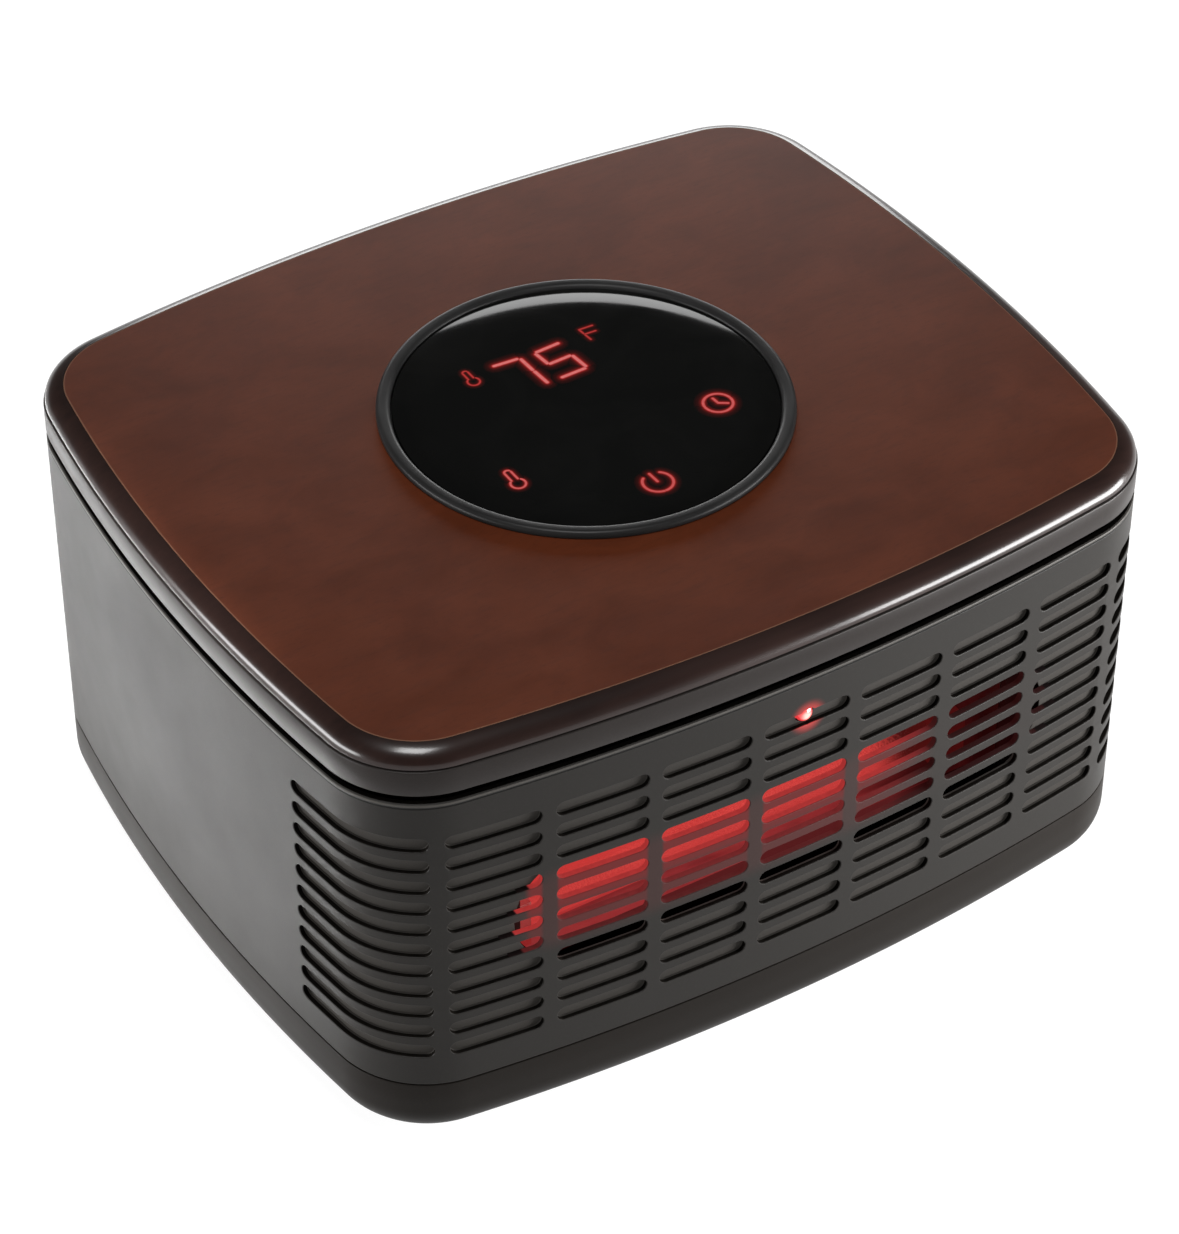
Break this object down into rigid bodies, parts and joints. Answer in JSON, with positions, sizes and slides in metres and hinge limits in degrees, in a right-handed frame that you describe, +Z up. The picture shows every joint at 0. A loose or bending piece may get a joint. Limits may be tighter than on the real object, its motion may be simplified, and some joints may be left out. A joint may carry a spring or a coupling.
{
  "type": "space heater",
  "caption": "Compact cabinet heater: crowned wooden top with a round touch panel, slotted wrap-round body, glowing quartz tubes and ceramic block inside, fan, rear filter.",
  "frame": {"origin": "on the floor plane under the middle of the cabinet, at the feet's undersides", "axes": "+X to the right seen from the front, -Y towards the front grille, +Z up to the wooden top"},
  "size_m": [0.33, 0.2786, 0.1811],
  "materials": {
    "satin_bronze": "satin bronze-grey moulded housing",
    "stained_wood": "dark reddish-brown stained veneer, satin lacquer",
    "black_plastic": "fine moulded black",
    "gloss_black": "gloss black",
    "panel_glass": "smoked panel with red lit display, opaque black backing",
    "quartz": "clear quartz tube",
    "red_lens": "red receiver window, lit",
    "galvanised_sheet": "galvanised sheet",
    "bright_reflector": "polished aluminium",
    "ceramic": "unglazed ceramic",
    "rubber": "soft black rubber",
    "steel": "zinc-plated steel",
    "pcb": "green laminate with dark components",
    "foam": "open-cell filter foam",
    "copper_winding": "lacquered copper wire",
    "heating_wire": "glowing coiled resistance wire"
  },
  "bodies": {
    "casing": {"wood_top_board": "stained_wood", "lid_tray": "satin_bronze", "lid_spacer_frame": "black_plastic", "control_bezel_ring": "gloss_black", "control_glass": "panel_glass", "control_housing": "black_plastic", "touch_control_board": "pcb", "display_module": "black_plastic", "body_wrap": "satin_bronze", "wrap_top_frame": "galvanised_sheet", "grille_backing_plate": "satin_bronze", "ir_receiver_lens": "red_lens", "ir_receiver_board": "pcb", "base_tray": "satin_bronze", "foot_front_left": "rubber", "foot_front_right": "rubber", "foot_back_left": "rubber", "foot_back_right": "rubber", "base_screw_front_left": "steel", "base_screw_front_right": "steel", "base_screw_back_left": "steel", "base_screw_back_right": "steel", "tip_switch_body": "black_plastic", "tip_switch_spring": "steel", "rear_panel": "black_plastic", "rear_screw_upper_left": "steel", "rear_screw_upper_right": "steel", "rear_screw_lower_left": "steel", "rear_screw_lower_right": "steel", "rocker_switch_housing": "gloss_black", "cord_gland": "rubber", "air_duct": "galvanised_sheet", "duct_outlet_frame": "black_plastic", "reflector": "bright_reflector", "quartz_tube_lower": "quartz", "quartz_tube_upper": "quartz", "heating_coil_lower": "heating_wire", "heating_coil_upper": "heating_wire", "tube_end_lower_left": "ceramic", "tube_end_lower_right": "ceramic", "tube_end_upper_left": "ceramic", "tube_end_upper_right": "ceramic", "ceramic_heater_block": "ceramic", "ceramic_block_frame": "galvanised_sheet", "thermal_cutout": "black_plastic", "thermal_fuse": "steel", "fan_shroud": "black_plastic", "motor_stator": "steel", "motor_coil": "copper_winding", "motor_bracket": "galvanised_sheet", "power_control_board": "pcb", "terminal_block": "ceramic", "room_temperature_sensor": "black_plastic"},
    "fan": {"fan_rotor": "black_plastic", "motor_shaft": "steel", "motor_rotor": "steel"},
    "rocker": {"power_rocker": "gloss_black"},
    "tip_plunger": {"tip_switch_plunger": "black_plastic"},
    "filter": {"filter_cover": "black_plastic", "filter_foam": "foam"}
  },
  "joints": [
    {"name": "fan_spin", "type": "hinge", "parent": "casing", "child": "fan", "pos_m": [0, 0.053, 0.088], "axis": [0, 1, 0], "continuous": true},
    {"name": "power_rocker_tilt", "type": "hinge", "parent": "casing", "child": "rocker", "pos_m": [-0.046, 0.1342, 0.0475], "axis": [1, 0, 0], "range_deg": [-22, 0]},
    {"name": "tip_plunger_slide", "type": "slide", "parent": "casing", "child": "tip_plunger", "axis": [0, 0, -1], "range_m": [0, 0.005], "stiffness_N_per_m": 40, "springref_m": 0.012, "deforming": ["tip_switch_spring"]},
    {"name": "filter_pull", "type": "slide", "parent": "casing", "child": "filter", "axis": [0, 1, 0], "range_m": [0, 0.045]}
  ]
}
